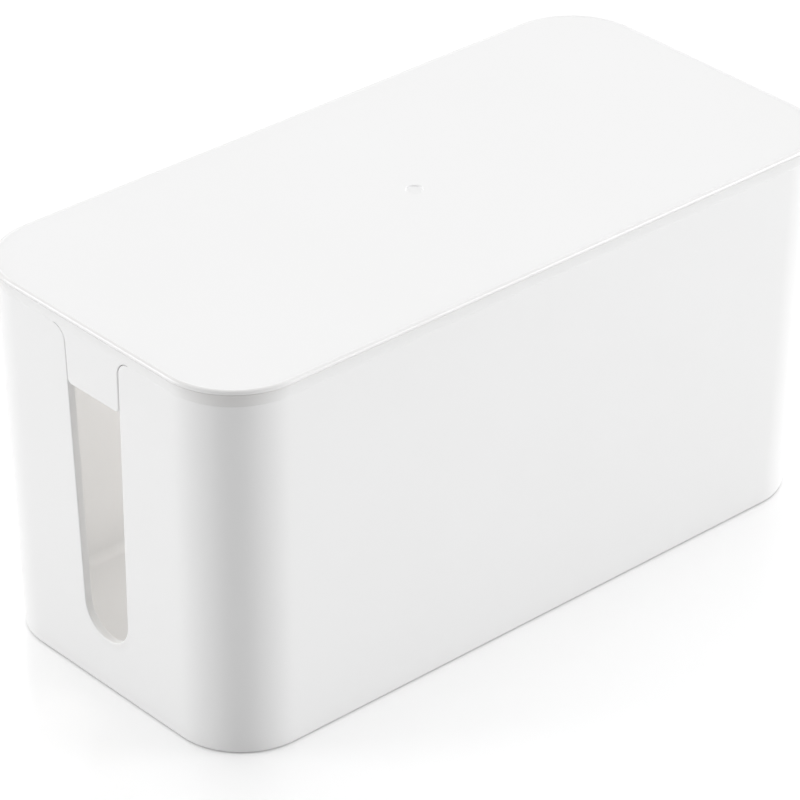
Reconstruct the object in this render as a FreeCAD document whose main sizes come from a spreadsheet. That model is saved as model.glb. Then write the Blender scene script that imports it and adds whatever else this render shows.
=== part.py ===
import FreeCAD, Part
import Sketcher
import os
from math import cos, pi, radians, sin, tan

# A cable management box: a tapered tub that a power strip lies in, with an open
# cable slot in each end wall, a lid that lifts off, and four rubber feet.
# Millimetres and degrees. The long sides run along X, +Z is up, and the origin
# is on the floor under the middle of the box.

doc = FreeCAD.newDocument("cable_box")

# Driving dimensions

dimensions = [
    ("length", 236.0, "outside, at the seam between tub and lid"),
    ("width", 114.4, "outside, at the seam"),
    ("height", 119.0, "from the floor to the top of the lid"),
    ("corner_radius", 20.0, "outside corners, the same all the way up"),
    ("draft", 1.25, "lean of the tub's walls, in degrees"),
    ("wall", 2.5, "thickness of the tub's walls and floor, and of the tabs"),
    ("base_round", 1.0, "outer edge under the tub"),
    ("cavity_round", 3.0, "inner edge round the tub's floor"),
    ("rim_height", 5.5, "lid's rim, from the seam to its flat top"),
    ("rim_draft", 2.0, "lean of the lid's rim, in degrees"),
    ("rim_round", 1.5, "edge round the lid's top"),
    ("plate_thickness", 2.5, "the lid's flat plate"),
    ("lip_depth", 4.0, "lip that reaches down inside the tub"),
    ("lip_thickness", 1.6, "from its outer face to its inner one"),
    ("lip_clearance", 0.5, "between the lip and the tub's inner wall, at the seam"),
    ("lip_chamfer", 0.5, "lead-in at the foot of the lip"),
    ("slot_round", 9.3, "radius of the slot's lower end"),
    ("slot_bottom", 17.0, "lowest point of the slot, above the floor"),
    ("slot_draft", 1.5, "lean of the slot's sides, in degrees"),
    ("slot_flare", 4.5, "radius that turns the slot's sides into the tub's rim"),
    ("tab_depth", 17.0, "how far a tab hangs below the seam"),
    ("tab_clearance", 0.6, "between a tab and the side of its slot"),
    ("tab_round", 1.6, "lower corners of a tab"),
    ("gate_radius", 3.0, "shallow moulding mark in the middle of the lid"),
    ("gate_depth", 0.2, "how deep that mark is"),
    ("foot_radius", 5.0, "round rubber feet"),
    ("foot_thickness", 1.6, "of which a part sits in the recess"),
    ("foot_standoff", 0.5, "how far a foot holds the tub off the floor"),
    ("foot_inset", 20.0, "from the edges of the tub's base to the middle of a foot"),
    ("foot_clearance", 0.3, "between a foot and the side of its recess"),
    ("foot_chamfer", 0.3, "lower edge of a foot"),
    ("overrun", 5.0, "how far a cut reaches past what it cuts"),
    ("match_share", 0.001, "of the wall: how near to a height an edge must end to be found there"),
]

sheet = doc.addObject("Spreadsheet::Sheet", "sizes")
for row, (name, size, note) in enumerate(dimensions, start=1):
    sheet.set(f"A{row}", name)
    sheet.set(f"B{row}", str(size))
    sheet.set(f"C{row}", note)
    sheet.setAlias(f"B{row}", name)
doc.recompute()

# Levels, sizes and places that follow from the dimensions, as expressions

base = "sizes.foot_standoff"
cavity_floor = "(sizes.foot_standoff + sizes.wall)"
seam = "(sizes.height - sizes.rim_height)"
lip_foot = f"({seam} - sizes.lip_depth)"
tab_foot = f"({seam} - sizes.tab_depth)"
slot_centre = "(sizes.slot_bottom + sizes.slot_round)"
flare_centre = f"({seam} - sizes.slot_flare)"
flare_reach = (f"(({flare_centre} - {slot_centre}) * tan(sizes.slot_draft)"
               " + (sizes.slot_round + sizes.slot_flare) / cos(sizes.slot_draft))")
lip_inset = "(2 * (sizes.wall + sizes.lip_clearance))"
lip_corner = "(sizes.corner_radius - sizes.wall - sizes.lip_clearance)"


def outside(size, level):
    # outside length or width of the tub's drafted form at a level below the seam
    return f"(sizes.{size} - 2 * tan(sizes.draft) * ({seam} - {level}))"


foot_x = f"({outside('length', base)} / 2 - sizes.foot_inset)"
foot_y = f"({outside('width', base)} / 2 - sizes.foot_inset)"


def value(expression):
    # what an expression comes to, in millimetres or degrees
    result = sheet.evalExpression(expression)
    return getattr(result, "Value", result)


# Sketches

def originPlane(body, role):
    return next(item for item in body.Origin.OriginFeatures if item.Role == role)


def newSketch(body, name, role, level=None):
    sketch = body.newObject("Sketcher::SketchObject", name)
    sketch.AttachmentSupport = [(originPlane(body, role), "")]
    sketch.MapMode = "FlatFace"
    if level:
        sketch.setExpression(".AttachmentOffset.Base.z", level)
    return sketch


def bind(sketch, name, expression, kind, *where):
    # adds a dimension to a sketch and ties it to the sheet
    start = value(expression)
    if kind == "Angle":
        start = radians(start)
        expression = f"{expression} * 1 deg"
    index = sketch.addConstraint(Sketcher.Constraint(kind, *where, start))
    sketch.renameConstraint(index, name)
    sketch.setExpression(f"Constraints.{name}", expression)


def line(sketch, start, end):
    points = [FreeCAD.Vector(*point, 0) for point in (start, end)]
    return sketch.addGeometry(Part.LineSegment(*points))


def arc(sketch, centre, radius, start, end):
    # an arc that runs counterclockwise between two angles in radians
    circle = Part.Circle(FreeCAD.Vector(*centre, 0), FreeCAD.Vector(0, 0, 1), radius)
    return sketch.addGeometry(Part.ArcOfCircle(circle, start, end))


def relate(sketch, kind, *pairs):
    for pair in pairs:
        sketch.addConstraint(Sketcher.Constraint(kind, *pair))


def roundedRectangle(sketch, name, length, width, radius):
    # a rectangle round the origin, with round corners: four arcs and the sides between them
    x, y, r = value(length) / 2, value(width) / 2, value(radius)
    centres = [(x - r, y - r), (r - x, y - r), (r - x, r - y), (x - r, r - y)]
    ends = [(x - r, y), (-x, y - r), (r - x, -y), (x, r - y)]
    starts = [(r - x, y), (-x, r - y), (x - r, -y), (x, y - r)]
    corners = [arc(sketch, centre, r, k * pi / 2, (k + 1) * pi / 2) for k, centre in enumerate(centres)]
    sides = [line(sketch, *span) for span in zip(ends, starts)]
    for k in range(4):
        relate(sketch, "Tangent", (corners[k], 2, sides[k], 1), (sides[k], 2, corners[(k + 1) % 4], 1))
    relate(sketch, "Equal", *((corners[0], corner) for corner in corners[1:]))
    relate(sketch, "Horizontal", (sides[0],), (sides[2],))
    relate(sketch, "Vertical", (sides[1],), (sides[3],))
    relate(sketch, "Symmetric", (corners[0], 3, corners[2], 3, -1, 1))
    bind(sketch, f"{name}_length", length, "DistanceX", sides[1], 1, sides[3], 1)
    bind(sketch, f"{name}_width", width, "DistanceY", sides[2], 1, sides[0], 1)
    bind(sketch, f"{name}_radius", radius, "Radius", corners[0])


def polygon(sketch, *points):
    # straight sides from point to point, joined end to end
    following = points[1:] + points[:1]
    sides = [line(sketch, *span) for span in zip(points, following)]
    joints = zip(sides, sides[1:] + sides[:1])
    relate(sketch, "Coincident", *((side, 2, after, 1) for side, after in joints))
    return sides


def rectangle(sketch, length, width):
    # a rectangle round the origin
    x, y = value(length) / 2, value(width) / 2
    sides = polygon(sketch, (-x, -y), (x, -y), (x, y), (-x, y))
    relate(sketch, "Horizontal", (sides[0],), (sides[2],))
    relate(sketch, "Vertical", (sides[1],), (sides[3],))
    relate(sketch, "Symmetric", (sides[0], 1, sides[2], 1, -1, 1))
    bind(sketch, "length", length, "DistanceX", sides[0], 1, sides[0], 2)
    bind(sketch, "width", width, "DistanceY", sides[1], 1, sides[1], 2)


def circleSketch(body, name, level, radius, x=None, y=None):
    # a circle about the origin, or at the place that two expressions give
    sketch = newSketch(body, name, "XY_Plane", level)
    centre = FreeCAD.Vector(value(x) if x else 0, value(y) if y else 0, 0)
    circle = sketch.addGeometry(Part.Circle(centre, FreeCAD.Vector(0, 0, 1), value(radius)))
    bind(sketch, "radius", radius, "Radius", circle)
    if x:
        bind(sketch, "across", x, "DistanceX", -1, 1, circle, 3)
        bind(sketch, "along", y, "DistanceY", -1, 1, circle, 3)
    else:
        relate(sketch, "Coincident", (circle, 3, -1, 1))
    return sketch


# Features

def extrude(body, kind, name, profile, length, up=True, lean=None):
    # a pad, or a pocket, that runs along the sketch's normal or against it
    feature = body.newObject(f"PartDesign::{kind}", name)
    feature.Profile = profile
    feature.setExpression("Length", length)
    feature.Reversed = up == (kind == "Pocket")
    if lean:
        feature.setExpression("TaperAngle", lean)
    doc.recompute()
    return feature


def padBothWays(body, name, profile, length):
    pad = body.newObject("PartDesign::Pad", name)
    pad.Profile = profile
    pad.SideType = "Symmetric"
    pad.setExpression("Length", length)
    doc.recompute()
    return pad


def cutThroughBothEnds(body, name, profile):
    pocket = body.newObject("PartDesign::Pocket", name)
    pocket.Profile = profile
    pocket.SideType = "Two sides"
    pocket.Type = "ThroughAll"
    pocket.Type2 = "ThroughAll"
    doc.recompute()
    return pocket


def mirror(body, name, feature, *roles):
    # repeats a feature on the other side of each origin plane that is named
    pattern = body.newObject("PartDesign::MultiTransform", name)
    pattern.Originals = [feature]
    mirrors = []
    for role in roles:
        step = body.newObject("PartDesign::Mirrored", f"{name}_{role[:2].lower()}")
        step.MirrorPlane = (originPlane(body, role), [""])
        mirrors.append(step)
    pattern.Transformations = mirrors
    body.Tip = pattern
    doc.recompute()
    return pattern


def spanning(feature, kind, low, high=None):
    # names of a feature's edges or faces that reach exactly from one height to another
    ends = value(low), value(high or low)
    near = value("sizes.wall * sizes.match_share")
    items = enumerate(getattr(feature.Shape, f"{kind}s"), start=1)
    return [f"{kind}{k}" for k, item in items
            if abs(item.BoundBox.ZMin - ends[0]) < near and abs(item.BoundBox.ZMax - ends[1]) < near]


def dress(body, kind, name, feature, names, **sizes):
    # a fillet, chamfer, draft or shell on the named edges or faces of a feature
    dressed = body.newObject(f"PartDesign::{kind}", name)
    dressed.Base = (feature, names)
    for property_name, expression in sizes.items():
        dressed.setExpression(property_name, expression)
    doc.recompute()
    return dressed


# Tub

def slotProfile(body):
    # the slot from its round lower end up through the flares, and on past the rim
    sketch = newSketch(body, "slot_profile", "YZ_Plane")
    lean = radians(value("sizes.slot_draft"))
    r, flare = value("sizes.slot_round"), value("sizes.slot_flare")
    middle, turn = value(slot_centre), value(flare_centre)
    reach, rim = value(flare_reach), value(seam)
    past = value(f"{seam} + sizes.overrun")
    low = (r * cos(lean), middle - r * sin(lean))
    high = (reach - flare * cos(lean), turn + flare * sin(lean))

    end = arc(sketch, (0, middle), r, pi + lean, 2 * pi - lean)
    right = line(sketch, low, high)
    right_flare = arc(sketch, (reach, turn), flare, pi / 2, pi - lean)
    right_top = line(sketch, (reach, rim), (reach, past))
    top = line(sketch, (reach, past), (-reach, past))
    left_top = line(sketch, (-reach, past), (-reach, rim))
    left_flare = arc(sketch, (-reach, turn), flare, lean, pi / 2)
    left = line(sketch, (-high[0], high[1]), (-low[0], low[1]))

    relate(sketch, "Tangent", (left, 2, end, 1), (end, 2, right, 1),
           (right, 2, right_flare, 2), (left_flare, 1, left, 1))
    relate(sketch, "Coincident", (right_flare, 1, right_top, 1), (right_top, 2, top, 1),
           (top, 2, left_top, 1), (left_top, 2, left_flare, 2))
    relate(sketch, "Vertical", (right_flare, 1, right_flare, 3), (left_flare, 2, left_flare, 3),
           (right_top,), (left_top,))
    relate(sketch, "Horizontal", (top,))
    relate(sketch, "PointOnObject", (end, 3, -2))
    relate(sketch, "Equal", (right_flare, left_flare))
    relate(sketch, "Symmetric", (right_flare, 3, left_flare, 3, -2))
    bind(sketch, "end_radius", "sizes.slot_round", "Radius", end)
    bind(sketch, "end_height", slot_centre, "DistanceY", -1, 1, end, 3)
    bind(sketch, "side_lean", "(90 - sizes.slot_draft)", "Angle", right)
    bind(sketch, "flare_radius", "sizes.slot_flare", "Radius", right_flare)
    bind(sketch, "flare_height", seam, "DistanceY", -1, 1, right_flare, 1)
    bind(sketch, "top_height", f"({seam} + sizes.overrun)", "DistanceY", -1, 1, top, 1)
    return sketch


def makeTub():
    body = doc.addObject("PartDesign::Body", "tub")
    rim = newSketch(body, "rim_outline", "XY_Plane", seam)
    rectangle(rim, "sizes.length", "sizes.width")
    block = extrude(body, "Pad", "block", rim, f"({seam} - {base})", up=False)
    walls = dress(body, "Draft", "lean", block, spanning(block, "Face", base, seam), Angle="sizes.draft")
    walls.NeutralPlane = (block, spanning(block, "Face", seam))
    walls.Reversed = True
    doc.recompute()
    form = dress(body, "Fillet", "corners", walls, spanning(walls, "Edge", base, seam),
                 Radius="sizes.corner_radius")
    shell = dress(body, "Thickness", "cavity", form, spanning(form, "Face", seam), Value="sizes.wall")
    shell.Reversed = True
    doc.recompute()
    rounded = dress(body, "Fillet", "base_edge", shell, spanning(shell, "Edge", base),
                    Radius="sizes.base_round")
    dress(body, "Fillet", "cavity_edge", rounded, spanning(rounded, "Edge", cavity_floor),
          Radius="sizes.cavity_round")

    cutThroughBothEnds(body, "cable_slots", slotProfile(body))

    recess = circleSketch(body, "recess_circle", base, "(sizes.foot_radius + sizes.foot_clearance)",
                          foot_x, foot_y)
    pocket = extrude(body, "Pocket", "foot_recess", recess, "(sizes.foot_thickness - sizes.foot_standoff)")
    mirror(body, "foot_recesses", pocket, "YZ_Plane", "XZ_Plane")
    return body


# Lid

def tabSection(body):
    # the tab seen from the side: it leans in with the end wall that it continues
    sketch = newSketch(body, "tab_section", "XZ_Plane")
    x, rim, foot, wall = value("sizes.length / 2"), value(seam), value(tab_foot), value("sizes.wall")
    x_foot = x - (rim - foot) * tan(radians(value("sizes.draft")))
    sides = polygon(sketch, (x, rim), (x - wall, rim), (x_foot - wall, foot), (x_foot, foot))
    relate(sketch, "Horizontal", (sides[0],), (sides[2],))
    relate(sketch, "Parallel", (sides[1], sides[3]))
    bind(sketch, "reach", "(sizes.length / 2)", "DistanceX", -1, 1, sides[0], 1)
    bind(sketch, "rim", seam, "DistanceY", -1, 1, sides[0], 1)
    bind(sketch, "foot", tab_foot, "DistanceY", -1, 1, sides[2], 1)
    bind(sketch, "thickness", "sizes.wall", "DistanceX", sides[0], 2, sides[0], 1)
    bind(sketch, "lean", "(90 - sizes.draft)", "Angle", sides[3])
    return sketch


def rimCutProfile(body):
    # what is cut away beside a tab: the tab's side and its hollow corner keep a clearance
    # from the slot's side and flare, and the rest of the lid's rim ends at the seam
    sketch = newSketch(body, "rim_cut_profile", "YZ_Plane")
    lean = radians(value("sizes.slot_draft"))
    gap, flare, corner = value("sizes.tab_clearance"), value("sizes.slot_flare"), value("sizes.tab_round")
    reach, turn, rim, foot = value(flare_reach), value(flare_centre), value(seam), value(tab_foot)
    past_foot = value(f"{tab_foot} - sizes.overrun")
    past_side = value("sizes.width / 2 + sizes.overrun")
    radius = flare + gap
    high = (reach - radius * cos(lean), turn + radius * sin(lean))
    corner_z = foot + corner
    corner_y = high[0] - (high[1] - corner_z) * tan(lean) - corner / cos(lean)
    low = (corner_y + corner * cos(lean), corner_z - corner * sin(lean))

    step = line(sketch, (reach, rim), (reach, turn + radius))
    hollow = arc(sketch, (reach, turn), radius, pi / 2, pi - lean)
    side = line(sketch, high, low)
    tab_corner = arc(sketch, (corner_y, corner_z), corner, 3 * pi / 2, 2 * pi - lean)
    below = line(sketch, (corner_y, foot), (corner_y, past_foot))
    bottom = line(sketch, (corner_y, past_foot), (past_side, past_foot))
    outer = line(sketch, (past_side, past_foot), (past_side, rim))
    level = line(sketch, (past_side, rim), (reach, rim))

    relate(sketch, "Tangent", (hollow, 2, side, 1), (side, 2, tab_corner, 2))
    relate(sketch, "Coincident", (step, 2, hollow, 1), (tab_corner, 1, below, 1), (below, 2, bottom, 1),
           (bottom, 2, outer, 1), (outer, 2, level, 1), (level, 2, step, 1))
    relate(sketch, "Vertical", (hollow, 1, hollow, 3), (tab_corner, 1, tab_corner, 3), (step,),
           (below,), (outer,))
    relate(sketch, "Horizontal", (bottom,), (level,))
    bind(sketch, "hollow_across", flare_reach, "DistanceX", -1, 1, hollow, 3)
    bind(sketch, "hollow_height", flare_centre, "DistanceY", -1, 1, hollow, 3)
    bind(sketch, "hollow_radius", "(sizes.slot_flare + sizes.tab_clearance)", "Radius", hollow)
    bind(sketch, "side_lean", "(270 - sizes.slot_draft)", "Angle", side)
    bind(sketch, "corner_radius", "sizes.tab_round", "Radius", tab_corner)
    bind(sketch, "tab_foot", tab_foot, "DistanceY", -1, 1, tab_corner, 1)
    bind(sketch, "cut_foot", f"({tab_foot} - sizes.overrun)", "DistanceY", -1, 1, bottom, 1)
    bind(sketch, "cut_side", "(sizes.width / 2 + sizes.overrun)", "DistanceX", -1, 1, outer, 1)
    bind(sketch, "cut_level", seam, "DistanceY", -1, 1, level, 1)
    return sketch


def lipBreak(body):
    # a rectangle over the lip behind one tab, as wide as the slot with its flares
    sketch = newSketch(body, "lip_break_outline", "XY_Plane", lip_foot)
    far = "(sizes.length / 2 - sizes.wall - sizes.lip_clearance / 2)"
    near = f"({far} - sizes.lip_thickness - sizes.overrun)"
    x, x_far, y = value(near), value(far), value(flare_reach)
    sides = polygon(sketch, (x, -y), (x_far, -y), (x_far, y), (x, y))
    relate(sketch, "Horizontal", (sides[0],), (sides[2],))
    relate(sketch, "Vertical", (sides[3],))
    relate(sketch, "Symmetric", (sides[1], 1, sides[1], 2, -1))
    bind(sketch, "near", near, "DistanceX", -1, 1, sides[0], 1)
    bind(sketch, "far", far, "DistanceX", -1, 1, sides[0], 2)
    bind(sketch, "breadth", f"(2 * {flare_reach})", "DistanceY", sides[1], 1, sides[1], 2)
    return sketch


def makeLid():
    body = doc.addObject("PartDesign::Body", "lid")
    rim = newSketch(body, "seam_outline", "XY_Plane", seam)
    roundedRectangle(rim, "rim", "sizes.length", "sizes.width", "sizes.corner_radius")
    plate = extrude(body, "Pad", "plate", rim, "sizes.rim_height", lean="-sizes.rim_draft")
    dress(body, "Fillet", "top_edge", plate, spanning(plate, "Edge", "sizes.height"),
          Radius="sizes.rim_round")

    lip_length = f"(sizes.length - {lip_inset})"
    lip_width = f"(sizes.width - {lip_inset})"
    core = (f"({lip_length} - 2 * sizes.lip_thickness)", f"({lip_width} - 2 * sizes.lip_thickness)",
            f"({lip_corner} - sizes.lip_thickness)")
    under = newSketch(body, "hollow_outline", "XY_Plane", seam)
    roundedRectangle(under, "hollow", *core)
    extrude(body, "Pocket", "hollow", under, "(sizes.rim_height - sizes.plate_thickness)")

    tab = padBothWays(body, "tab", tabSection(body), f"(2 * {flare_reach})")
    mirror(body, "tabs", tab, "YZ_Plane")
    cut = cutThroughBothEnds(body, "rim_cut", rimCutProfile(body))
    mirror(body, "rim_cuts", cut, "XZ_Plane")

    ring = newSketch(body, "lip_outline", "XY_Plane", lip_foot)
    roundedRectangle(ring, "outer", lip_length, lip_width, lip_corner)
    roundedRectangle(ring, "inner", *core)
    lip = extrude(body, "Pad", "lip", ring, "sizes.lip_depth")
    dress(body, "Chamfer", "lip_lead_in", lip, spanning(lip, "Edge", lip_foot), Size="sizes.lip_chamfer")
    gap = extrude(body, "Pocket", "lip_break", lipBreak(body), "sizes.lip_depth")
    mirror(body, "lip_breaks", gap, "YZ_Plane")

    mark = circleSketch(body, "gate_circle", "sizes.height", "sizes.gate_radius")
    extrude(body, "Pocket", "gate_mark", mark, "sizes.gate_depth", up=False)
    return body


# Feet

def makeFoot(name, side, end):
    # a disc of rubber that stands on the floor, glued into its recess
    body = doc.addObject("PartDesign::Body", name)
    disc = extrude(body, "Pad", "disc", circleSketch(body, "disc_circle", None, "sizes.foot_radius"),
                   "sizes.foot_thickness")
    dress(body, "Chamfer", "disc_edge", disc, spanning(disc, "Edge", "0"), Size="sizes.foot_chamfer")
    body.setExpression("Placement.Base.x", f"{end} * {foot_x}")
    body.setExpression("Placement.Base.y", f"{side} * {foot_y}")
    return body


pieces = [makeTub(), makeLid()]
for side, side_name in ((-1, "front"), (1, "rear")):
    for end, end_name in ((-1, "left"), (1, "right")):
        pieces.append(makeFoot(f"foot_{side_name}_{end_name}", side, end))
doc.recompute()

# Check and export

failed = [item.Name for item in doc.Objects if {"Invalid", "Error"} & set(item.State)]
failed += [piece.Label for piece in pieces if piece.Shape.isNull() or not piece.Shape.isValid()]
if failed:
    raise RuntimeError(f"failed: {failed}")
idle = [item.Name for item in doc.Objects if item.TypeId == "PartDesign::Pocket"
        and item.Shape.Volume >= item.BaseFeature.Shape.Volume]
if idle:
    raise RuntimeError(f"these cut nothing: {idle}")

os.makedirs("parts", exist_ok=True)
for piece in pieces:
    piece.Shape.exportStep(f"parts/{piece.Label}.step")
    box = piece.Shape.BoundBox
    print(f"{piece.Label}: {len(piece.Shape.Solids)} solid, {piece.Shape.Volume:.0f} mm3,"
          f" {box.XLength:.2f} x {box.YLength:.2f} x {box.ZLength:.2f} mm")
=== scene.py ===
from math import cos, pi, radians, sin, tan

import bmesh
import bpy
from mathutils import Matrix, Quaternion, Vector


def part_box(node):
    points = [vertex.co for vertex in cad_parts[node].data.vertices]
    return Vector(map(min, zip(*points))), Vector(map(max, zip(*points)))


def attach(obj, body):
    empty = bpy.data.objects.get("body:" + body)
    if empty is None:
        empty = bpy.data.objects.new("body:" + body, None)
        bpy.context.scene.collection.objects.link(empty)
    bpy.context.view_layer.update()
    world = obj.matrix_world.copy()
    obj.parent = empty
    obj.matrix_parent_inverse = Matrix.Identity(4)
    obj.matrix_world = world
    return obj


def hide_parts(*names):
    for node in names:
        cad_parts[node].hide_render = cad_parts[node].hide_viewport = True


# A cable management box: tapered tub, lift-off lid with a tab over each cable slot, rubber feet.
# Sizes in the dictionaries are in millimetres and degrees, unless a note says otherwise.

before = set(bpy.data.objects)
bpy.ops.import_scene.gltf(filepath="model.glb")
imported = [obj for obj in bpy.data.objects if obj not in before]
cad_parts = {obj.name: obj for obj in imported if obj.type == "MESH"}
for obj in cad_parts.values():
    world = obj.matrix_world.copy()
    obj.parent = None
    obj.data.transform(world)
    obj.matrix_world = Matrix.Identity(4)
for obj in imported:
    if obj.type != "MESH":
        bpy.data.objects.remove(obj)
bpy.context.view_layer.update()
mm = 0.001
scene = bpy.context.scene
print("frame loaded:", ", ".join(sorted(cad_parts)))


# Node trees, for shapes and for materials

class Wire:
    # a socket of a node tree, or the bare tree; sums on it in Python add Math nodes
    def __init__(self, tree, socket=None):
        self.tree = tree
        self.socket = socket

    def node(self, kind, settings=None, feeds=None):
        # any node: first its settings, then what goes into its sockets
        made = self.tree.nodes.new(kind)
        for name, setting in (settings or {}).items():
            if name == "stops":
                fillRamp(made.color_ramp, setting)
            else:
                setattr(made, name, setting)
        for key, feed in (feeds or {}).items():
            target = made.inputs[key] if isinstance(key, int) else openSocket(made.inputs, key)
            if isinstance(feed, Wire):
                self.tree.links.new(feed.socket, target)
            else:
                target.default_value = feed
        return Wire(self.tree, openSocket(made.outputs) if made.outputs else None)

    def out(self, name):
        return Wire(self.tree, openSocket(self.socket.node.outputs, name))

    def sum(self, operation, *terms, clamp=False):
        settings = {"operation": operation, "use_clamp": clamp}
        return self.node("ShaderNodeMath", settings, dict(enumerate(terms)))

    def __add__(self, other):
        return self.sum("ADD", self, other)

    def __radd__(self, other):
        return self.sum("ADD", other, self)

    def __sub__(self, other):
        return self.sum("SUBTRACT", self, other)

    def __rsub__(self, other):
        return self.sum("SUBTRACT", other, self)

    def __mul__(self, other):
        return self.sum("MULTIPLY", self, other)

    def __rmul__(self, other):
        return self.sum("MULTIPLY", other, self)

    def __truediv__(self, other):
        return self.sum("DIVIDE", self, other)

    def __rtruediv__(self, other):
        return self.sum("DIVIDE", other, self)

    def __pow__(self, other):
        return self.sum("POWER", self, other)

    def __rpow__(self, other):
        return self.sum("POWER", other, self)

    def least(self, other):
        return self.sum("MINIMUM", self, other)

    def most(self, other):
        return self.sum("MAXIMUM", self, other)

    def share(self):
        # held between 0 and 1
        return self.sum("ADD", self, 0, clamp=True)

    def cosine(self):
        return self.sum("COSINE", self)

    def sine(self):
        return self.sum("SINE", self)

    def tangent(self):
        return self.sum("TANGENT", self)


def openSocket(sockets, name=None):
    # the first socket in use, or the one of that name
    return next(socket for socket in sockets if socket.enabled and name in (None, socket.name))


def fillRamp(ramp, stops):
    while len(ramp.elements) < len(stops):
        ramp.elements.new(1)
    for element, (place, shade) in zip(ramp.elements, stops):
        element.position = place
        element.color = (*shade, 1)


def newShapeTree(name, sizes):
    # a geometry tree with one named input for each size; gives its input node and the sizes
    tree = bpy.data.node_groups.new(name, "GeometryNodeTree")
    tree.interface.new_socket("Geometry", in_out="INPUT", socket_type="NodeSocketGeometry")
    for size in sizes:
        tree.interface.new_socket(size, in_out="INPUT", socket_type="NodeSocketFloat")
    tree.interface.new_socket("Material", in_out="INPUT", socket_type="NodeSocketMaterial")
    tree.interface.new_socket("Geometry", in_out="OUTPUT", socket_type="NodeSocketGeometry")
    start = Wire(tree).node("NodeGroupInput")
    return start, [start.out(size) for size in sizes]


def endShapeTree(start, shape):
    shape = start.node("GeometryNodeRealizeInstances", feeds={"Geometry": shape})
    shape = start.node("GeometryNodeSetMaterial", feeds={
        "Geometry": shape, "Material": start.out("Material")})
    start.node("NodeGroupOutput", feeds={"Geometry": shape})
    return start.tree


def pointParts(start):
    # the three numbers of each point
    split = start.node("ShaderNodeSeparateXYZ", feeds={"Vector": start.node("GeometryNodeInputPosition")})
    return [split.out(name) for name in "XYZ"]


def settle(name, pattern, tree, sizes, material):
    # lays a pattern out as an object, runs the tree on it and keeps the plain mesh
    mesh = bpy.data.meshes.new(name)
    joinSeams(pattern)
    pattern.to_mesh(mesh)
    pattern.free()
    piece = bpy.data.objects.new(name, mesh)
    scene.collection.objects.link(piece)
    shaping = piece.modifiers.new(tree.name, "NODES")
    shaping.node_group = tree
    for item in tree.interface.items_tree:
        if item.in_out == "INPUT" and item.name in sizes:
            shaping[item.identifier] = float(sizes[item.name])
        if item.in_out == "INPUT" and item.name == "Material":
            shaping[item.identifier] = material
    keepResult(piece)
    closeMesh(piece)
    flatter = piece.modifiers.new("flat faces", "WEIGHTED_NORMAL")
    flatter.keep_sharp = True
    keepResult(piece)
    return piece


def keepResult(piece):
    # replaces a piece's mesh by what its modifiers make of it
    graph = bpy.context.evaluated_depsgraph_get()
    before = piece.data
    piece.data = bpy.data.meshes.new_from_object(piece.evaluated_get(graph))
    piece.modifiers.clear()
    bpy.data.meshes.remove(before)
    piece.data.name = piece.name


def joinSeams(shell):
    bmesh.ops.remove_doubles(shell, verts=shell.verts, dist=mergeReach)
    bmesh.ops.dissolve_degenerate(shell, edges=shell.edges, dist=mergeReach)
    bmesh.ops.recalc_face_normals(shell, faces=shell.faces)


def closeMesh(piece):
    # joins the seams, turns every face outwards and shades it smooth between sharp edges
    shell = bmesh.new()
    shell.from_mesh(piece.data)
    joinSeams(shell)
    openEdges = sum(not edge.is_manifold for edge in shell.edges)
    print(f"{piece.name}: {len(shell.faces)} faces, {openEdges} open edges")
    shell.to_mesh(piece.data)
    shell.free()
    piece.data.shade_smooth()
    piece.data.set_sharp_from_angle(angle=radians(sharpTurn))


mergeReach = 0.004 * mm
sharpTurn = 35     # an edge that turns more than this stays sharp


# Patterns. A wall is laid out flat before the tree wraps it round the box: the first number of a
# point is its way round the outline from the middle of an end, the second its depth behind the
# outer face, the third its height. One quarter of the box is laid out.

outline = {
    "length": 234,       # at the seam, which the edge of the lid overhangs
    "width": 112.4,
    "seam": 113.5,
    "corner": 22,
    "cornerCells": 18,
    "lean": 1.25,        # of the walls
    "hold": 22,          # the lean doesn't narrow an end this near to its middle
}
slot = {
    "round": 9.3,        # radius of its lower end
    "bottom": 17,
    "lean": 1.5,         # of its sides, which part upwards
    "flare": 4.5,        # radius of the turn into the rim
}

endFlat = outline["width"] / 2 - outline["corner"]
sideFlat = outline["length"] / 2 - outline["corner"]
sideStart = endFlat + outline["corner"] * pi / 2     # way round to where a long side starts
sideMiddle = sideStart + sideFlat
slotCentre = slot["bottom"] + slot["round"]
flareCentre = outline["seam"] - slot["flare"]
slotLean = radians(slot["lean"])
slotReach = (flareCentre - slotCentre) * tan(slotLean) + (slot["round"] + slot["flare"]) / cos(slotLean)


def spread(start, end, cells):
    # evenly spaced places from start to end
    return [start + (end - start) * k / cells for k in range(cells + 1)]


def join(*runs):
    # one list of places out of runs that each start where the last one ended
    return [*runs[0], *(place for run in runs[1:] for place in run[1:])]


def mix(a, b, share):
    # a point on the line from a to b
    return tuple(p + (q - p) * share for p, q in zip(a, b))


def sheet(pattern, rows):
    # quads between rows of points
    rows = [[pattern.verts.new([size * mm for size in point]) for point in row] for row in rows]
    for low, high in zip(rows, rows[1:]):
        for k in range(len(low) - 1):
            pattern.faces.new((low[k], low[k + 1], high[k + 1], high[k]))


def drawAlong(pattern, places, section):
    # a section, given as depths and heights, drawn along the outline
    sheet(pattern, [[(place, depth, height) for place in places] for depth, height in section])


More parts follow.
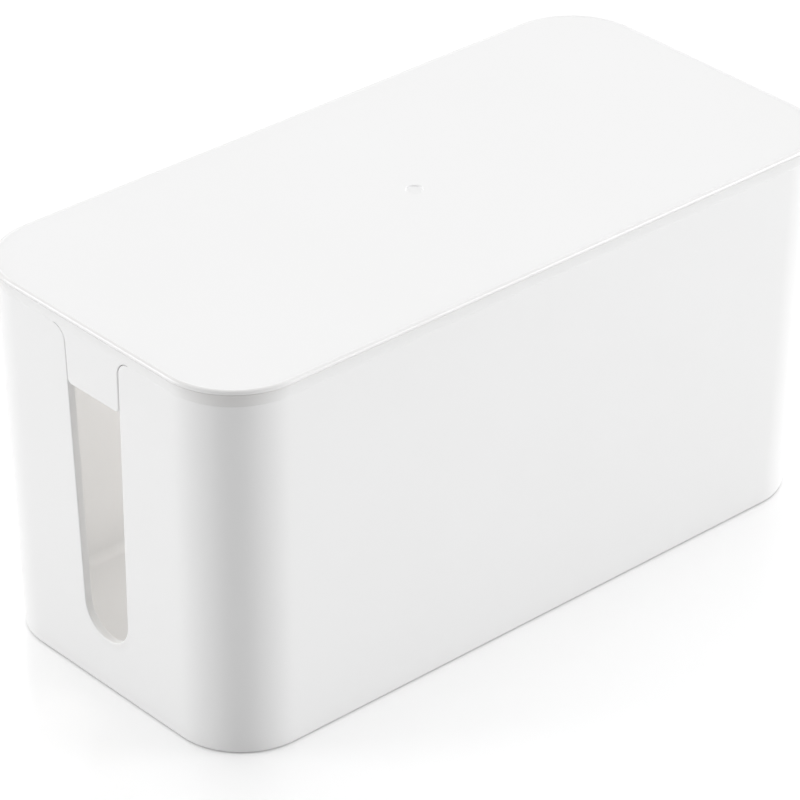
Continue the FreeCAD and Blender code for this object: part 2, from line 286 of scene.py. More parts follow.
def patch(pattern, bottom, top, left, right):
    # a sheet between four edges that meet at their ends
    rows = []
    for j in range(len(left)):
        t = j / (len(left) - 1)
        row = []
        for i in range(len(bottom)):
            s = i / (len(bottom) - 1)
            across = mix(left[j], right[j], s)
            along = mix(bottom[i], top[i], t)
            bend = mix(mix(bottom[0], bottom[-1], s), mix(top[0], top[-1], s), t)
            row.append(tuple(a + b - c for a, b, c in zip(across, along, bend)))
        rows.append(row)
    sheet(pattern, rows)


def arcPoints(centre, radius, start, end, cells):
    # points of an arc, each with its direction from the centre
    turns = [radians(turn) for turn in spread(start, end, cells)]
    return [(centre[0] + radius * cos(t), centre[1] + radius * sin(t), cos(t), sin(t)) for t in turns]


def roundOff(start, corner, end, cells):
    # section points that round a square corner from start to end
    points = []
    for turn in spread(0, pi / 2, cells):
        back, on = 1 - sin(turn), 1 - cos(turn)
        points.append(tuple(c + (a - c) * back + (b - c) * on for a, c, b in zip(start, corner, end)))
    return points


def edgeSection(radius, thickness, inside, cells):
    # depth and way back from a cut edge, for a wall with both its edges rounded
    outer = roundOff((0, -radius), (0, 0), (radius, 0), cells)
    inner = roundOff((thickness - radius, 0), (thickness, 0), (thickness, -radius), cells)
    return outer + [(depth, back * inside) for depth, back in inner]


def drawEdge(pattern, edge, thickness, cells):
    # the rounded edge of a wall along a line of its pattern: each point of the line has its
    # place and height, the way out of the wall there, its radius and the share of it inside
    rows = []
    for place, height, across, up, radius, inside in edge:
        section = edgeSection(radius, thickness, inside, cells)
        rows.append([(place + back * across, depth, height + back * up) for depth, back in section])
    sheet(pattern, rows)
    return [row[0] for row in rows], [row[-1] for row in rows]


# Tub

tub = {
    "base": 0.3,            # over the floor
    "floor": 3,
    "wall": 2.5,
    "baseRound": 0.6,
    "cavityRound": 3,
    "slotRound": 0.4,       # edges of the slot
    "rimRound": 0.06,       # edges of the rim, under the lid
    "edgeCells": 4,
    "patchFoot": 9,         # the slot sits in a patch of its own from here up
    "patchRows": (26, 101),  # heights between which the patch follows the slot's straight side
    "bottomCells": 12,
    "sideCells": 10,
    "flareCells": 10,
    "patchCells": 5,
    "flatCells": 2,
    "longCells": 9,
    "footCells": 2,         # up the outside, under the patch
    "roundCells": 5,
    "cavityCells": 6,
    "underCells": 4,        # in from the walls, underneath
    "floorCells": 3,
    "recess": 5.3,          # radius of the pocket for a foot
    "recessTop": 1.6,
    "recessCells": 48,
}


def slotEdge():
    # from the lowest point of the slot up its side and out over the flare
    lean = slot["lean"]
    radius = tub["slotRound"]
    low = arcPoints((0, slotCentre), slot["round"], -90, -lean, tub["bottomCells"])
    flare = arcPoints((slotReach, flareCentre), slot["flare"], 180 - lean, 90, tub["flareCells"])
    edge = [(place, height, -across, -up, radius, 1) for place, height, across, up in low]
    for k in range(1, tub["sideCells"]):
        point = mix(low[-1][:2], flare[0][:2], k / tub["sideCells"])
        edge.append((*point, -cos(slotLean), sin(slotLean), radius, 1))
    for k, point in enumerate(flare):
        edge.append((*point, radius + (tub["rimRound"] - radius) * k / tub["flareCells"], 1))
    return edge


def tubPattern():
    pattern = bmesh.new()
    wall, seam, corner = tub["wall"], outline["seam"], outline["corner"]
    hold, patchFoot = outline["hold"], tub["patchFoot"]
    half = tub["bottomCells"] // 2
    under = spread(0, hold, half)
    beside = join(spread(hold, endFlat, tub["flatCells"]),
                  spread(endFlat, sideStart, outline["cornerCells"]),
                  spread(sideStart, sideMiddle, tub["longCells"]))
    rimPlaces = join(spread(slotReach, hold, tub["patchCells"]), beside)[1:]
    edge = slotEdge() + [(place, seam, 0, 1, tub["rimRound"], 1) for place in rimPlaces]
    outer, inner = drawEdge(pattern, edge, wall, tub["edgeCells"])

    count = tub["bottomCells"] + tub["sideCells"] + tub["flareCells"] + 1
    lowRow, highRow = tub["patchRows"]
    risers = join(spread(patchFoot, lowRow, half), spread(lowRow, highRow, tub["sideCells"]),
                  spread(highRow, seam - tub["rimRound"], tub["flareCells"]))
    for depth, rim in ((0, outer), (wall, inner)):
        border = [(place, depth, patchFoot) for place in under[:-1]]
        border += [(hold, depth, height) for height in risers]
        rings = [[mix(a, b, k / tub["patchCells"]) for k in range(tub["patchCells"] + 1)]
                 for a, b in zip(rim[:count], border)]
        sheet(pattern, rings)
        drawAlong(pattern, beside, [(depth, height) for height in risers])

    # the lower walls with the base, and with the floor of the cavity
    everywhere = join(under, beside)
    base, baseRound = tub["base"], tub["baseRound"]
    drawAlong(pattern, everywhere, join(
        [(0, height) for height in spread(patchFoot, base + baseRound, tub["footCells"])],
        roundOff((0, base + baseRound), (0, base), (baseRound, base), tub["roundCells"]),
        [(depth, base) for depth in spread(baseRound, corner, tub["underCells"])]))
    floor, cavityRound = tub["floor"], tub["cavityRound"]
    cavityEdge = wall + cavityRound
    drawAlong(pattern, everywhere, join(
        [(wall, patchFoot), (wall, floor + cavityRound)],
        roundOff((wall, floor + cavityRound), (wall, floor), (cavityEdge, floor), tub["cavityCells"]),
        [(depth, floor) for depth in spread(cavityEdge, corner, tub["floorCells"])]))
    ends = join(under, spread(hold, endFlat, tub["flatCells"]))
    for level in (base, floor):
        drawAlong(pattern, ends, [(corner + run, level) for run in spread(0, sideFlat, tub["longCells"])])
    return pattern


# Lid

lid = {
    "top": 119,
    "beadDrop": 1,          # a fine bead runs round the top: its outer side rounds down this far
    "beadRound": 0.9,       # over this width
    "beadFall": 0.2,        # and its inner side falls this far to the plate
    "beadSlope": 0.6,       # over this width
    "beadCells": 6,
    "edgeLip": 0.05,
    "overhang": 1,          # of the edge over the seam
    "flare": 0.95,          # share of that which the rim gains on its way up to the groove
    "flareBend": 1.5,       # 1 is straight, more turns out later
    "flareCells": 8,
    "grooveHeight": 0.4,    # under the edge
    "grooveDepth": 0.15,
    "grooveSlope": 0.2,     # share of its height
    "plate": 2.5,
    "lipDepth": 4,
    "lipThickness": 1.6,
    "lipClearance": 0.5,
    "lipChamfer": 0.5,
    "tabDepth": 17,
    "tabClearance": 0.19,
    "tabShift": 0.11,       # the tabs hang this far off the middle of their slots
    "tabShiftReach": 1.5,   # from this far under the seam
    "tabCorner": 1.6,
    "tabRound": 0.4,        # edges of the tab
    "rimRound": 0.05,       # edges of the rim, on the seam
    "edgeCells": 4,
    "footCells": 5,
    "cornerCells": 6,
    "sideCells": 6,
    "hollowCells": 8,
    "flatCells": 3,
    "longCells": 9,
    "insetCells": 3,        # in from the walls, on top and underneath
}
gate = {
    # the moulding mark in the middle of the top
    "radius": 2.6,
    "depth": 0.4,
    "edge": 0.25,       # between its square and its wall
    "wall": 0.05,
    "round": 0.3,
    "edgeCells": 3,
    "half": 8,          # of the square round it
    "cells": 3,
}


def tabEdge():
    # from the middle of the tab's foot round its corner, up its side and out to the rim
    lean, seam = slot["lean"], outline["seam"]
    foot = seam - lid["tabDepth"]
    radius, rimRadius = lid["tabRound"], lid["rimRound"]
    hollowRadius = slot["flare"] + lid["tabClearance"]
    hollow = arcPoints((slotReach, flareCentre), hollowRadius, 180 - lean, 90, lid["hollowCells"])
    cornerHeight = foot + lid["tabCorner"]
    cornerPlace = (hollow[0][0] - (hollow[0][1] - cornerHeight) * tan(slotLean)
                   - lid["tabCorner"] / cos(slotLean))
    corner = arcPoints((cornerPlace, cornerHeight), lid["tabCorner"], -90, -lean, lid["cornerCells"])
    edge = [(place, foot, 0, -1, radius, 1) for place in spread(0, cornerPlace, lid["footCells"])[:-1]]
    edge += [(*point, radius, 1) for point in corner]
    for k in range(1, lid["sideCells"]):
        point = mix(corner[-1][:2], hollow[0][:2], k / lid["sideCells"])
        edge.append((*point, cos(slotLean), -sin(slotLean), radius, 1))
    for k, (place, height, across, up) in enumerate(hollow):
        share = k / lid["hollowCells"]
        edge.append((place, height, -across, -up, radius + (rimRadius - radius) * share, 1 - share))
    edge.append((slotReach, seam, 0, -1, rimRadius, 0))
    return edge


def lidPattern():
    pattern = bmesh.new()
    wall, seam, corner = tub["wall"], outline["seam"], outline["corner"]
    square, squareCells, inset = gate["half"], gate["cells"], lid["insetCells"]
    top, rimRound = lid["top"], lid["rimRound"]
    notch = seam + lid["tabClearance"]
    ceiling = top - lid["plate"]
    edge = tabEdge()
    outer, inner = drawEdge(pattern, edge, wall, lid["edgeCells"])

    # the tab's two faces, between its rounded edges and the rim
    half = lid["footCells"] + lid["cornerCells"] // 2
    last = len(edge) - 2
    tabPlaces = join(spread(0, square, squareCells), spread(square, slotReach, half - squareCells))
    for depth, line in ((0, outer), (wall, inner)):
        right = line[half:last + 1]
        low, high = right[0][2], right[-1][2]
        foot = line[0][2]
        left = [(0, depth, foot + (point[2] - low) * (high - foot) / (high - low)) for point in right]
        head = [(place, depth, high) for place in tabPlaces]
        patch(pattern, line[:half + 1], head, left, right)

    # the side and the edge of the top
    rise = lidSide(notch + rimRound)
    top -= lid["beadFall"]
    rise = join(rise, [(depth, top) for depth in spread(rise[-1][0], corner, inset)])
    drawAlong(pattern, tabPlaces, rise)
    beside = join(spread(slotReach, endFlat, lid["flatCells"]),
                  spread(endFlat, sideStart, outline["cornerCells"]),
                  spread(sideStart, sideMiddle - square, lid["longCells"]),
                  spread(sideMiddle - square, sideMiddle, squareCells))
    drawAlong(pattern, beside, [(0, seam + rimRound), *rise])

    # underneath: the rim's seat, the lip and the ceiling
    lipOuter = wall + lid["lipClearance"]
    lipInner = lipOuter + lid["lipThickness"]
    lipFoot = seam - lid["lipDepth"]
    chamfer = lid["lipChamfer"]
    seat = [(depth, seam + max(0, -back) * (depth < wall / 2))
            for depth, back in edgeSection(rimRound, wall, 0, lid["edgeCells"])]
    lip = [(lipOuter, seam), (lipOuter, lipFoot + chamfer), (lipOuter + chamfer, lipFoot),
           (lipInner - chamfer, lipFoot), (lipInner, lipFoot + chamfer), (lipInner, seam), (lipInner, notch)]
    inside = [(lipInner, notch)] + [(depth, ceiling) for depth in spread(lipInner, corner, inset)]
    drawAlong(pattern, beside, seat + lip + inside[1:])
    drawAlong(pattern, tabPlaces, [(wall, notch), (lipOuter, notch)] + inside)
    for quad in (((wall, notch), (lipOuter, notch), (lipOuter, seam), (wall, seam)),
                 ((lipOuter, notch), (lipInner, notch), (lipInner, seam), (lipOuter, seam)),
                 ((lipOuter, seam), (lipInner, seam), lip[4], lip[1]), (lip[1], lip[4], lip[3], lip[2])):
        a, b, c, d = [(slotReach, *point) for point in quad]
        sheet(pattern, [[a, b], [d, c]])

    # the flat middles, and the moulding mark in the top
    ends = join(tabPlaces, spread(slotReach, endFlat, lid["flatCells"]))
    runs = join(spread(0, sideFlat - square, lid["longCells"]),
                spread(sideFlat - square, sideFlat, squareCells))
    drawAlong(pattern, ends, [(corner + run, ceiling) for run in runs])
    drawAlong(pattern, ends, [(corner + run, top) for run in runs[:lid["longCells"] + 1]])
    drawAlong(pattern, ends[squareCells:], [(corner + run, top) for run in runs[lid["longCells"]:]])
    gateMark(pattern, top)
    return pattern


def lidSide(start):
    # depths and heights up the flaring rim, through the groove under the edge and over the bead
    out, top, fall = lid["overhang"], lid["top"], lid["beadFall"]
    crest = lid["beadRound"] - out
    bead = roundOff((-out, top - lid["beadDrop"]), (-out, top), (crest, top), lid["beadCells"])
    bead += [(crest + lid["beadSlope"] * share, top - fall * (1 - cos(pi * share)) / 2)
             for share in spread(0, 1, lid["beadCells"])[1:]]
    lip = bead[0][1] - lid["edgeLip"]
    shoulder = lip - lid["grooveHeight"]
    slope = lid["grooveHeight"] * lid["grooveSlope"]
    rim = [(-out * lid["flare"] * share ** lid["flareBend"], start + (shoulder - start) * share)
           for share in spread(0, 1, lid["flareCells"])]
    back = rim[-1][0] + lid["grooveDepth"]
    groove = [(back, shoulder + slope), (back, lip - slope), (-out, lip)]
    return rim + groove + bead


def gateMark(pattern, top):
    # a shallow round dish in a square that fits the grid round it
    half, cells, radius, depth = gate["half"], gate["cells"], gate["radius"], gate["depth"]
    middle = outline["length"] / 2
    border = [(half, y) for y in spread(0, half, cells)] + [(x, half) for x in spread(half, 0, cells)[1:]]
    wallFoot = (radius - gate["wall"], -depth / 2)
    dish = roundOff((radius + gate["edge"], 0), (radius, 0), wallFoot, gate["edgeCells"])
    dish += [(radius - gate["round"], -depth), (radius / 2, -depth), (0, -depth)]
    rows = []
    for k, (x, y) in enumerate(border):
        turn = pi / 2 * k / (len(border) - 1)
        row = [(y, middle - x, top)]
        row += [(r * sin(turn), middle - r * cos(turn), top + drop) for r, drop in dish]
        rows.append(row)
    sheet(pattern, rows)


# Wrapping

wrapSizes = ["Length", "Width", "Seam", "Corner", "Lean", "Hold"]
recessSizes = ["Foot radius", "Foot recess", "Foot X", "Foot Y"]
shiftSizes = ["Tab shift", "Tab shift reach"]


def wrapTree(name, finish, finishSizes):
    # wraps a flat pattern round the leaning outline, mirrors it twice, joins the quarters and
    # finishes the whole
    start, sizes = newShapeTree(name, wrapSizes + finishSizes)
    length, width, seam, corner, lean, hold, *finishing = sizes
    run, depth, height = pointParts(start)

    flat = width / 2 - corner
    long = length / 2 - corner
    cornerArc = corner * (pi / 2)
    across = run.least(flat)
    turn = ((run - flat) / cornerArc).share() * (pi / 2)
    along = (run - flat - cornerArc).most(0) + (depth - corner).most(0)
    reach = corner - depth.least(corner)
    inset = lean.tangent() * (seam - height).most(0)
    narrowed = ((across - hold) / (flat - hold)).share()
    x = long + reach * turn.cosine() - along - inset * (1 - along / long)
    y = across + reach * turn.sine() - inset * narrowed
    marked = start.node("GeometryNodeStoreNamedAttribute", feeds={
        "Geometry": start.out("Geometry"), "Name": "depth", "Value": depth})
    wrapped = start.node("GeometryNodeSetPosition", feeds={
        "Geometry": marked,
        "Position": start.node("ShaderNodeCombineXYZ", feeds={"X": x, "Y": y, "Z": height})})

    shape = wrapped
    for scale in ((-1, 1, 1), (1, -1, 1)):
        twin = start.node("GeometryNodeTransform", feeds={"Geometry": shape, "Scale": scale})
        twin = start.node("GeometryNodeFlipFaces", feeds={"Mesh": twin})
        both = start.tree.nodes.new("GeometryNodeJoinGeometry")
        for half in (shape, twin):
            start.tree.links.new(half.socket, both.inputs["Geometry"])
        shape = Wire(start.tree, both.outputs["Geometry"])
    shape = start.node("GeometryNodeMergeByDistance", feeds={"Geometry": shape, "Distance": mergeReach})
    return endShapeTree(start, finish(start, shape, *finishing))


def shiftTabs(start, shape, shift, reach):
    # moves what hangs under the seam a little to one side
    height = pointParts(start)[2]
    aside = shift * ((start.out("Seam") - height) / reach).share()
    return start.node("GeometryNodeSetPosition", feeds={
        "Geometry": shape, "Offset": start.node("ShaderNodeCombineXYZ", feeds={"Y": aside})})


def cutRecesses(start, shape, radius, recess, footX, footY):
    # one round pocket under each corner, for its foot
    cutter = start.node("GeometryNodeMeshCylinder", {"fill_type": "NGON"}, {
        "Vertices": tub["recessCells"], "Radius": radius, "Depth": recess * 2})
    spots = start.node("GeometryNodeMeshGrid", feeds={
        "Vertices X": 2, "Vertices Y": 2, "Size X": footX * 2, "Size Y": footY * 2})
    cutters = start.node("GeometryNodeInstanceOnPoints", feeds={"Points": spots, "Instance": cutter})
    cutters = start.node("GeometryNodeRealizeInstances", feeds={"Geometry": cutters})
    return start.node("GeometryNodeMeshBoolean", {"operation": "DIFFERENCE", "solver": "EXACT"}, {
        "Mesh 1": shape, "Mesh 2": cutters})


def wrapInputs(hold, finishing):
    return {
        "Length": outline["length"] * mm,
        "Width": outline["width"] * mm,
        "Seam": outline["seam"] * mm,
        "Corner": outline["corner"] * mm,
        "Lean": radians(outline["lean"]),
        "Hold": hold * mm,
        **finishing,
    }


# Feet

foot = {
    "radius": 5,
    "thickness": 1.6,
    "soleFlat": 1.2,        # radius of the flat middle of the sole
    "soleRound": 0.3,
    "soleCells": 4,
    "topRound": 0.15,
    "topCells": 3,
    "topRings": (0.7, 0.35),   # shares of the radius
    "grooves": (2.1, 3.5),     # radii of the rings in the sole
    "grooveHalf": 0.3,
    "grooveDepth": 0.25,
    "cells": 48,
}


def footPattern():
    # a turned section: angle, radius and height; the angle is divided by what sheet multiplies by
    pattern = bmesh.new()
    radius, thick, sole, top = foot["radius"], foot["thickness"], foot["soleRound"], foot["topRound"]
    half, deep = foot["grooveHalf"], foot["grooveDepth"]
    section = [(0, 0), (foot["soleFlat"], 0)]
    for groove in foot["grooves"]:
        section += [(groove - half, 0), (groove - half / 2, deep),
                    (groove + half / 2, deep), (groove + half, 0)]
    section += roundOff((radius - sole, 0), (radius, 0), (radius, sole), foot["soleCells"])
    section += roundOff((radius, thick - top), (radius, thick), (radius - top, thick), foot["topCells"])
    section += [(radius * share, thick) for share in (*foot["topRings"], 0)]
    rows = [[(turn / mm, r, z) for turn in spread(0, 2 * pi, foot["cells"])] for r, z in section]
    sheet(pattern, rows)
    return pattern


def turnTree():
    # turns a flat pattern of angles, radii and heights round an upright axis
    start, (centreX, centreY) = newShapeTree("turn", ["Centre X", "Centre Y"])
    angle, radius, height = pointParts(start)
    turned = start.node("GeometryNodeSetPosition", feeds={
        "Geometry": start.out("Geometry"),
        "Position": start.node("ShaderNodeCombineXYZ", feeds={
            "X": centreX + radius * angle.cosine(), "Y": centreY + radius * angle.sine(), "Z": height})})
    return endShapeTree(start, turned)


# Materials. Cloud scales are per metre of the pieces' own coordinates; reaches, fades and depths
# are in millimetres.

plasticLook = {
    "colour": (0.864, 0.864, 0.866),
    "drift": (0.848, 0.847, 0.845),      # the tint wanders slowly towards this one
    # the colour that the painted shade and the wear darken towards
    "paintedShadeAndWear": (0.70, 0.69, 0.68),
    "driftScale": 16,
    "driftDetail": 2,
    "patchScale": 55,        # wear, the painted shade on the bead and the darkening towards the bottom come in patches
    "patchDetail": 4,
    "patchGain": 2,
    "paintedEdgeShade": 0.23,       # painted shade under the edge of the lid
    "paintedCornerShade": 0.62,     # more painted shade where the rim turns
    "cornerFade": 11,
    "rimFade": 0.25,
    # painted shade on the bead's rounding, which dulls its highlight
    "paintedBeadShade": 0.4,
    "paintedEndShade": 0.25,          # more painted shade on the bead at the lid's ends
    "crestFade": 0.225,      # towards the top
    "beadFade": 0.5,         # towards the groove
    # darker towards the bottom, in patches
    "baseDarkening": 0.08,
    "baseReach": 7,
    "cordRub": 0.3,          # where cords lie over the lower edge of a slot
    "cordReach": 3,
    "roughness": 0.335,
    "roughSpread": 0.07,
    "shadeAndWearSmoothing": 0.02,       # less rough where the colour is darkened by painted shade and by wear
    "roughScale": 38,
    "roughDetail": 3,
    "waveScale": 22,         # long slight waves, as flat mouldings have
    "waveDetail": 0,
    "waveDepth": 0.03,
    "grainScale": 1100,
    "grainDetail": 1,
    "grainDepth": 0.0012,
    "ior": 1.5,
}
rubberLook = {
    "colour": (0.31, 0.31, 0.31),
    "dusty": (0.40, 0.39, 0.375),
    "dustScale": 420,
    "dustDetail": 4,
    "dustStops": ((0.35, (0, 0, 0)), (0.75, (1, 1, 1))),
    "roughness": 0.72,
    "roughSpread": 0.2,
    "grainScale": 2600,
    "grainDetail": 3,
    "grainDepth": 0.02,
}


def newMaterial(name):
    material = bpy.data.materials.new(name)
    material.use_nodes = True
    material.node_tree.nodes.clear()
    return material, Wire(material.node_tree)


def cloud(start, place, look, name):
    # smooth random values about one half, of the scale and detail that the look gives that name
    return start.node("ShaderNodeTexNoise", feeds={
        "Vector": place, "Scale": look[name + "Scale"], "Detail": look[name + "Detail"]})


def blend(start, share, low, high):
    # a colour between two
    low, high = [(*shade, 1) if isinstance(shade, tuple) else shade for shade in (low, high)]
    return start.node("ShaderNodeMix", {"data_type": "RGBA"}, {"Factor": share, "A": low, "B": high})


def raised(start, height, depth, under=None):
    # a bump of this many millimetres, on top of another one
    feeds = {"Height": height, "Distance": depth * mm}
    return start.node("ShaderNodeBump", feeds=feeds if under is None else {**feeds, "Normal": under})


def whitePlastic():
    material, start = newMaterial("white moulded plastic")
    look = plasticLook
    place = start.node("ShaderNodeTexCoord").out("Object")
    split = start.node("ShaderNodeSeparateXYZ", feeds={"Vector": place})
    along, across, height = split.out("X") / mm, split.out("Y") / mm, split.out("Z") / mm
    depth = start.node("ShaderNodeAttribute", {"attribute_name": "depth"}).out("Fac") / mm

    # where shade is painted under the lid's edge and on its bead, where it is worn, and darker towards the
    # bottom
    patches = (cloud(start, place, look, "patch") * look["patchGain"]).share()
    seam, lip = outline["seam"], lid["top"] - lid["beadDrop"]
    onRim = ((height - seam) / look["rimFade"]).share() * ((lip - height) / lid["grooveHeight"]).share()
    underEdge = ((height - seam) / (lip - seam)).share()
    crest = lid["beadRound"] - lid["overhang"]
    onBead = ((crest - depth) / look["crestFade"]).share() * ((height - lip) / look["beadFade"]).share()
    atEnds = ((along.most(0 - along) - sideFlat) / outline["corner"]).share()
    atCorners = ((across.most(0 - across) - endFlat) / look["cornerFade"] * atEnds).share()
    nearBase = 1 - (height / look["baseReach"]).share()
    below = slotCentre - height
    fromSlot = (across * across + below * below) ** 0.5 - slot["round"]
    underCords = (1 - (fromSlot / look["cordReach"]).share()) * (below / slot["round"]).share()
    # painted shade under the lid's edge, more where the rim turns
    paintedShadeAndWear = onRim * (look["paintedEdgeShade"] * underEdge + look["paintedCornerShade"] * atCorners)
    # painted shade on the bead, which dulls its highlight, and wear where cords lie over a slot
    beadShadeAndCordWear = onBead * (look["paintedBeadShade"] + look["paintedEndShade"] * atEnds) + underCords * look["cordRub"]
    paintedShadeAndWearShare = paintedShadeAndWear + (beadShadeAndCordWear + nearBase * look["baseDarkening"]) * patches

    colour = blend(start, cloud(start, place, look, "drift"), look["colour"], look["drift"])
    # the painted shade and the wear darken the colour
    colour = blend(start, paintedShadeAndWearShare, colour, look["paintedShadeAndWear"])
    roughness = look["roughness"] + (cloud(start, place, look, "rough") - 0.5) * look["roughSpread"]
    wave = raised(start, cloud(start, place, look, "wave"), look["waveDepth"])
    shader = start.node("ShaderNodeBsdfPrincipled", feeds={
        "Base Color": colour,
        "Roughness": roughness - paintedShadeAndWearShare * look["shadeAndWearSmoothing"],
        "Normal": raised(start, cloud(start, place, look, "grain"), look["grainDepth"], wave),
        "IOR": look["ior"]})
    start.node("ShaderNodeOutputMaterial", feeds={"Surface": shader})
    return material


def footRubber():
    material, start = newMaterial("foot rubber")
    look = rubberLook
    place = start.node("ShaderNodeTexCoord").out("Object")
    dust = start.node("ShaderNodeValToRGB", {"stops": look["dustStops"]}, {
        "Fac": cloud(start, place, look, "dust")})
    grain = cloud(start, place, look, "grain")
    shader = start.node("ShaderNodeBsdfPrincipled", feeds={
        "Base Color": blend(start, dust, look["colour"], look["dusty"]),
        "Roughness": look["roughness"] + grain * look["roughSpread"],
        "Normal": raised(start, grain, look["grainDepth"])})
    start.node("ShaderNodeOutputMaterial", feeds={"Surface": shader})
    return material


plastic = whitePlastic()
rubber = footRubber()
print("materials made:", plastic.name, "and", rubber.name)


# The pieces

low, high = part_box("foot_rear_right")
middle = (low + high) / 2
recesses = {"Foot radius": tub["recess"] * mm, "Foot recess": tub["recessTop"] * mm,
            "Foot X": middle.x, "Foot Y": middle.y}
shifts = {"Tab shift": lid["tabShift"] * mm, "Tab shift reach": lid["tabShiftReach"] * mm}
tubPiece = settle("tub_shell", tubPattern(), wrapTree("wrap tub", cutRecesses, recessSizes),
                  wrapInputs(outline["hold"], recesses), plastic)
lidPiece = settle("lid_shell", lidPattern(), wrapTree("wrap lid", shiftTabs, shiftSizes),
                  wrapInputs(slotReach, shifts), plastic)
for piece, body, node in ((tubPiece, "tub", "tub"), (lidPiece, "lid", "lid")):
    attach(piece, body)
    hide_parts(node)

turned = turnTree()
for node in ("foot_front_left", "foot_front_right", "foot_rear_left", "foot_rear_right"):
    low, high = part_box(node)
    centre = (low + high) / 2
    place = {"Centre X": centre.x, "Centre Y": centre.y}
    piece = settle(node + "_pad", footPattern(), turned, place, rubber)
    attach(piece, "tub")
    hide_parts(node)
print("pieces in place: tub, lid and four feet")


# Camera

camera = {
    "azimuth": -41.927,
    "elevation": 31.004,
    "roll": 0.088,
    "distance": 1312.6,     # from the frame's origin, and its shifts from the line to it
    "right": -3.99,
    "up": 42.25,
    "lens": 199.42,
    "sensor": 36,
    "clip": (50, 20000),
}


def placeCamera():
    data = bpy.data.cameras.new("camera")
    data.lens = camera["lens"]
    data.sensor_width = camera["sensor"]
    data.clip_start, data.clip_end = [reach * mm for reach in camera["clip"]]
    turn, rise = radians(camera["azimuth"]), radians(camera["elevation"])
    back = Vector((sin(turn) * cos(rise), -cos(turn) * cos(rise), sin(rise)))
    right = Vector((cos(turn), sin(turn), 0))
    up = back.cross(right)
    eye = bpy.data.objects.new("camera", data)
    eye.location = (back * camera["distance"] + right * camera["right"] + up * camera["up"]) * mm
    eye.rotation_mode = "QUATERNION"
    eye.rotation_quaternion = back.to_track_quat("Z", "Y") @ Quaternion((0, 0, 1), radians(camera["roll"]))
    scene.collection.objects.link(eye)
    scene.camera = eye


placeCamera()
print("camera placed")


# Studio. A lamp's level is what it adds on a surface that faces it, where 1 shows a colour as written.

studio = {
    "ambient": 0.44,            # the world's light on the box
    "floorHalf": 6,             # metres
    "floorShade": 0.65,         # the floor's own colour, which lights the box from below
    "floorSeen": 0.94,          # and the one that the camera and reflections see
    "floorGlow": 0.12,          # is added to that
    "floorGloss": 0.1,          # share of a faint mirror image
    "floorBlur": 0.12,
    "aim": (0, 0, 60),
}
lamps = {
    # level, then metres to the right, towards the camera and up from the aim, width and height
    "left panel": (0.5, -3.2, 0.16, 0.45, 1.4, 0.9),
    "right panel": (0.59, 3.2, 0.08, 0.45, 1.4, 0.9),
    "top panel": (0.9, 0, -1.05, 3.3, 6, 5.5),
}
innerGlow = {
    # two faint panels stand in for the daylight that the thin white walls let through
    "shade": (1, 0.975, 0.94),
    "size": (190, 80),
    "under the lid": (1.26, 107, 0),      # level, height, and a tilt of 180 to shine upwards
    "over the floor": (0.32, 3.5, 180),
}
white = (1, 1, 1, 1)


def seenRay(start):
    # 1 for what the camera sees, also in a reflection or through something clear
    path = start.node("ShaderNodeLightPath")
    seen = path.out("Is Camera Ray").most(path.out("Is Glossy Ray"))
    return seen.most(path.out("Is Transmission Ray"))


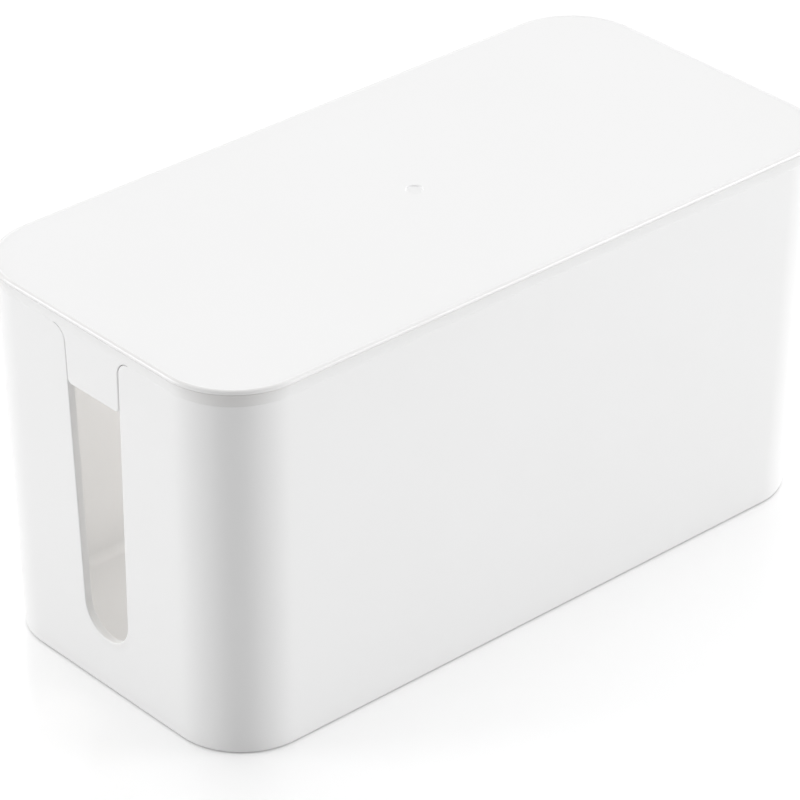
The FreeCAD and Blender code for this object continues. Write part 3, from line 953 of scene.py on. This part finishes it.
def makeFloor():
    mesh = bpy.data.meshes.new("floor")
    half = studio["floorHalf"]
    corners = [(-half, -half, 0), (half, -half, 0), (half, half, 0), (-half, half, 0)]
    mesh.from_pydata(corners, [], [(0, 1, 2, 3)])
    floor = bpy.data.objects.new("floor", mesh)
    scene.collection.objects.link(floor)
    material, start = newMaterial("pale floor")
    lit, seen = [start.node("ShaderNodeBsdfDiffuse", feeds={"Color": (*[studio[shade]] * 3, 1)})
                 for shade in ("floorShade", "floorSeen")]
    gloss = start.node("ShaderNodeBsdfGlossy", feeds={"Color": white, "Roughness": studio["floorBlur"]})
    glow = start.node("ShaderNodeEmission", feeds={"Color": white, "Strength": studio["floorGlow"]})
    seen = start.node("ShaderNodeMixShader", feeds={0: studio["floorGloss"], 1: seen, 2: gloss})
    seen = start.node("ShaderNodeAddShader", feeds={0: seen, 1: glow})
    start.node("ShaderNodeOutputMaterial", feeds={
        "Surface": start.node("ShaderNodeMixShader", feeds={0: seenRay(start), 1: lit, 2: seen})})
    mesh.materials.append(material)


def lightWorld():
    world = bpy.data.worlds.new("studio")
    scene.world = world
    world.use_nodes = True
    world.node_tree.nodes.clear()
    start = Wire(world.node_tree)
    strength = studio["ambient"] + (1 - studio["ambient"]) * seenRay(start)
    start.node("ShaderNodeOutputWorld", feeds={
        "Surface": start.node("ShaderNodeBackground", feeds={"Color": white, "Strength": strength})})


def newPanel(name, width, height):
    # a lamp that the camera doesn't see
    data = bpy.data.lights.new(name, "AREA")
    data.shape = "RECTANGLE"
    data.size, data.size_y = width, height
    lamp = bpy.data.objects.new(name, data)
    lamp.visible_camera = False
    scene.collection.objects.link(lamp)
    return lamp


def hangLamps():
    turn = radians(camera["azimuth"])
    right, near = Vector((cos(turn), sin(turn), 0)), Vector((sin(turn), -cos(turn), 0))
    aim = Vector(studio["aim"]) * mm
    for name, (level, across, towards, up, width, height) in lamps.items():
        lamp = newPanel(name, width, height)
        lamp.location = aim + right * across + near * towards + Vector((0, 0, up))
        away = lamp.location - aim
        lamp.data.energy = level * pi * pi * away.length_squared
        lamp.rotation_mode = "QUATERNION"
        lamp.rotation_quaternion = away.to_track_quat("Z", "Y")


def glowInside(place, carrier):
    # a panel that moves with the piece that carries it
    level, height, tilt = innerGlow[place]
    lamp = newPanel("glow " + place, *[size * mm for size in innerGlow["size"]])
    lamp.data.color = innerGlow["shade"]
    lamp.data.energy = level * pi * lamp.data.size * lamp.data.size_y
    lamp.location.z = height * mm
    lamp.rotation_euler.x = radians(tilt)
    lamp.parent = carrier
    lamp.visible_glossy = False


scene.view_settings.view_transform = "Standard"
makeFloor()
lightWorld()
hangLamps()
glowInside("under the lid", lidPiece)
glowInside("over the floor", tubPiece)
print("studio lit:", ", ".join(lamps))
